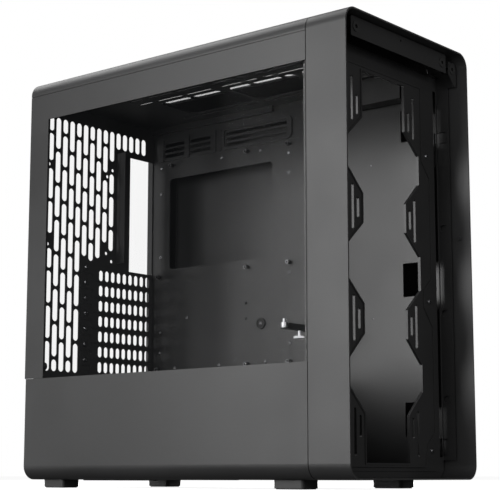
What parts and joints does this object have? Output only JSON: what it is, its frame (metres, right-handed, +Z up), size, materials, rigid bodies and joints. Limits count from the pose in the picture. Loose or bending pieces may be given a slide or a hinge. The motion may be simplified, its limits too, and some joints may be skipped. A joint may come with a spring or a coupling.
{
  "type": "computer tower case",
  "caption": "Empty mid-tower computer case with a glass side window, removable panels, fan bracket, drive trays and a graphics card support.",
  "frame": {"origin": "on the floor, midway between the sides and midway between front and rear", "axes": "+Z up, the open front faces -Y, +X to the right seen from the front, the window is on -X"},
  "size_m": [0.252, 0.5, 0.518],
  "materials": {
    "steel_outer": "fine-texture powder coat, matte",
    "steel_inner": "fine-texture powder coat, matte",
    "zinc_screw": "zinc-plated steel",
    "black_plastic": "moulded, fine grain",
    "rubber": "moulded rubber",
    "glass": "clear tempered glass with a faint grey tint",
    "filter_mesh": "fine nylon mesh",
    "circuit_board": "solder-masked board",
    "connector_metal": "nickel-plated shell",
    "spring_steel": "spring wire"
  },
  "bodies": {
    "chassis": {"floor_plate": "steel_inner", "foot_housings": "black_plastic", "foot_pads": "rubber", "filter_rails": "black_plastic", "rear_vent_panel": "steel_inner", "rear_fan_panel": "steel_inner", "rear_io_panel": "steel_inner", "expansion_slot_frame": "steel_inner", "psu_mount_panel": "steel_inner", "slot_covers": "steel_inner", "slot_cover_screws": "zinc_screw", "motherboard_tray": "steel_inner", "tray_cable_strip": "steel_inner", "tray_vent_rear": "steel_inner", "tray_vent_front": "steel_inner", "motherboard_standoffs": "zinc_screw", "tray_screws": "zinc_screw", "ssd_grommet": "rubber", "psu_shroud": "steel_inner", "drive_cage": "steel_inner", "roof_frame": "steel_inner", "front_frame": "steel_inner", "front_post_left": "steel_inner", "front_post_right": "steel_inner", "front_top_bar": "steel_inner", "snap_sockets": "black_plastic", "panel_sockets": "black_plastic", "io_housing": "black_plastic", "io_bezel": "black_plastic", "io_circuit_board": "circuit_board", "usb_ports": "connector_metal", "audio_jack": "black_plastic", "support_rail": "steel_inner", "power_spring": "spring_steel", "reset_spring": "spring_steel"},
    "glass_panel": {"glass_pane": "glass", "glass_panel_frame": "steel_outer", "glass_panel_studs": "black_plastic"},
    "lower_side_panel": {"lower_side_panel": "steel_outer", "lower_panel_studs": "black_plastic"},
    "right_side_panel": {"right_side_panel": "steel_outer", "right_panel_studs": "black_plastic"},
    "top_cover": {"top_cover": "steel_outer", "top_mesh": "steel_outer", "top_filter": "black_plastic", "top_cover_studs": "black_plastic"},
    "front_surround": {"front_surround": "steel_outer", "surround_clips": "black_plastic"},
    "fan_bracket": {"fan_bracket": "steel_inner", "fan_bracket_screws": "zinc_screw"},
    "floor_filter": {"floor_filter_frame": "black_plastic", "floor_filter_mesh": "filter_mesh"},
    "drive_tray_lower": {"drive_tray_lower": "black_plastic"},
    "drive_tray_upper": {"drive_tray_upper": "black_plastic"},
    "power_button": {"power_button": "black_plastic"},
    "reset_button": {"reset_button": "black_plastic"},
    "support_carriage": {"support_carriage": "steel_inner"},
    "support_arm": {"support_arm": "steel_inner", "support_stud": "zinc_screw"},
    "support_thumbscrew": {"support_thumbscrew": "zinc_screw"}
  },
  "joints": [
    {"name": "glass_panel_pull", "type": "slide", "parent": "chassis", "child": "glass_panel", "axis": [-1, 0, 0], "range_m": [0, 0.06]},
    {"name": "lower_panel_pull", "type": "slide", "parent": "chassis", "child": "lower_side_panel", "axis": [-1, 0, 0], "range_m": [0, 0.06]},
    {"name": "right_panel_pull", "type": "slide", "parent": "chassis", "child": "right_side_panel", "axis": [1, 0, 0], "range_m": [0, 0.06]},
    {"name": "top_cover_lift", "type": "slide", "parent": "chassis", "child": "top_cover", "axis": [0, 0, 1], "range_m": [0, 0.08]},
    {"name": "front_surround_pull", "type": "slide", "parent": "chassis", "child": "front_surround", "axis": [0, -1, 0], "range_m": [0, 0.08]},
    {"name": "fan_bracket_pull", "type": "slide", "parent": "chassis", "child": "fan_bracket", "axis": [0, -1, 0], "range_m": [0, 0.08]},
    {"name": "floor_filter_slide", "type": "slide", "parent": "chassis", "child": "floor_filter", "axis": [0, 1, 0], "range_m": [0, 0.19]},
    {"name": "drive_tray_lower_slide", "type": "slide", "parent": "chassis", "child": "drive_tray_lower", "axis": [0, -1, 0], "range_m": [0, 0.12]},
    {"name": "drive_tray_upper_slide", "type": "slide", "parent": "chassis", "child": "drive_tray_upper", "axis": [0, -1, 0], "range_m": [0, 0.12]},
    {"name": "power_button_press", "type": "slide", "parent": "chassis", "child": "power_button", "axis": [0, 0, -1], "range_m": [0, 0.0012], "stiffness_N_per_m": 1200, "springref_m": -0.001, "deforming": ["power_spring"]},
    {"name": "reset_button_press", "type": "slide", "parent": "chassis", "child": "reset_button", "axis": [0, 0, -1], "range_m": [0, 0.001], "stiffness_N_per_m": 1000, "springref_m": -0.001, "deforming": ["reset_spring"]},
    {"name": "support_height", "type": "slide", "parent": "chassis", "child": "support_carriage", "axis": [0, 0, 1], "range_m": [-0.025, 0.105]},
    {"name": "support_swing", "type": "hinge", "parent": "support_carriage", "child": "support_arm", "pos_m": [0.074, -0.062, 0.1919], "axis": [0, 0, 1], "range_deg": [-88, 0]},
    {"name": "thumbscrew_turn", "type": "hinge", "parent": "support_arm", "child": "support_thumbscrew", "pos_m": [0.035, -0.062, 0.18], "axis": [0, 0, 1], "range_deg": [-180, 180]}
  ]
}
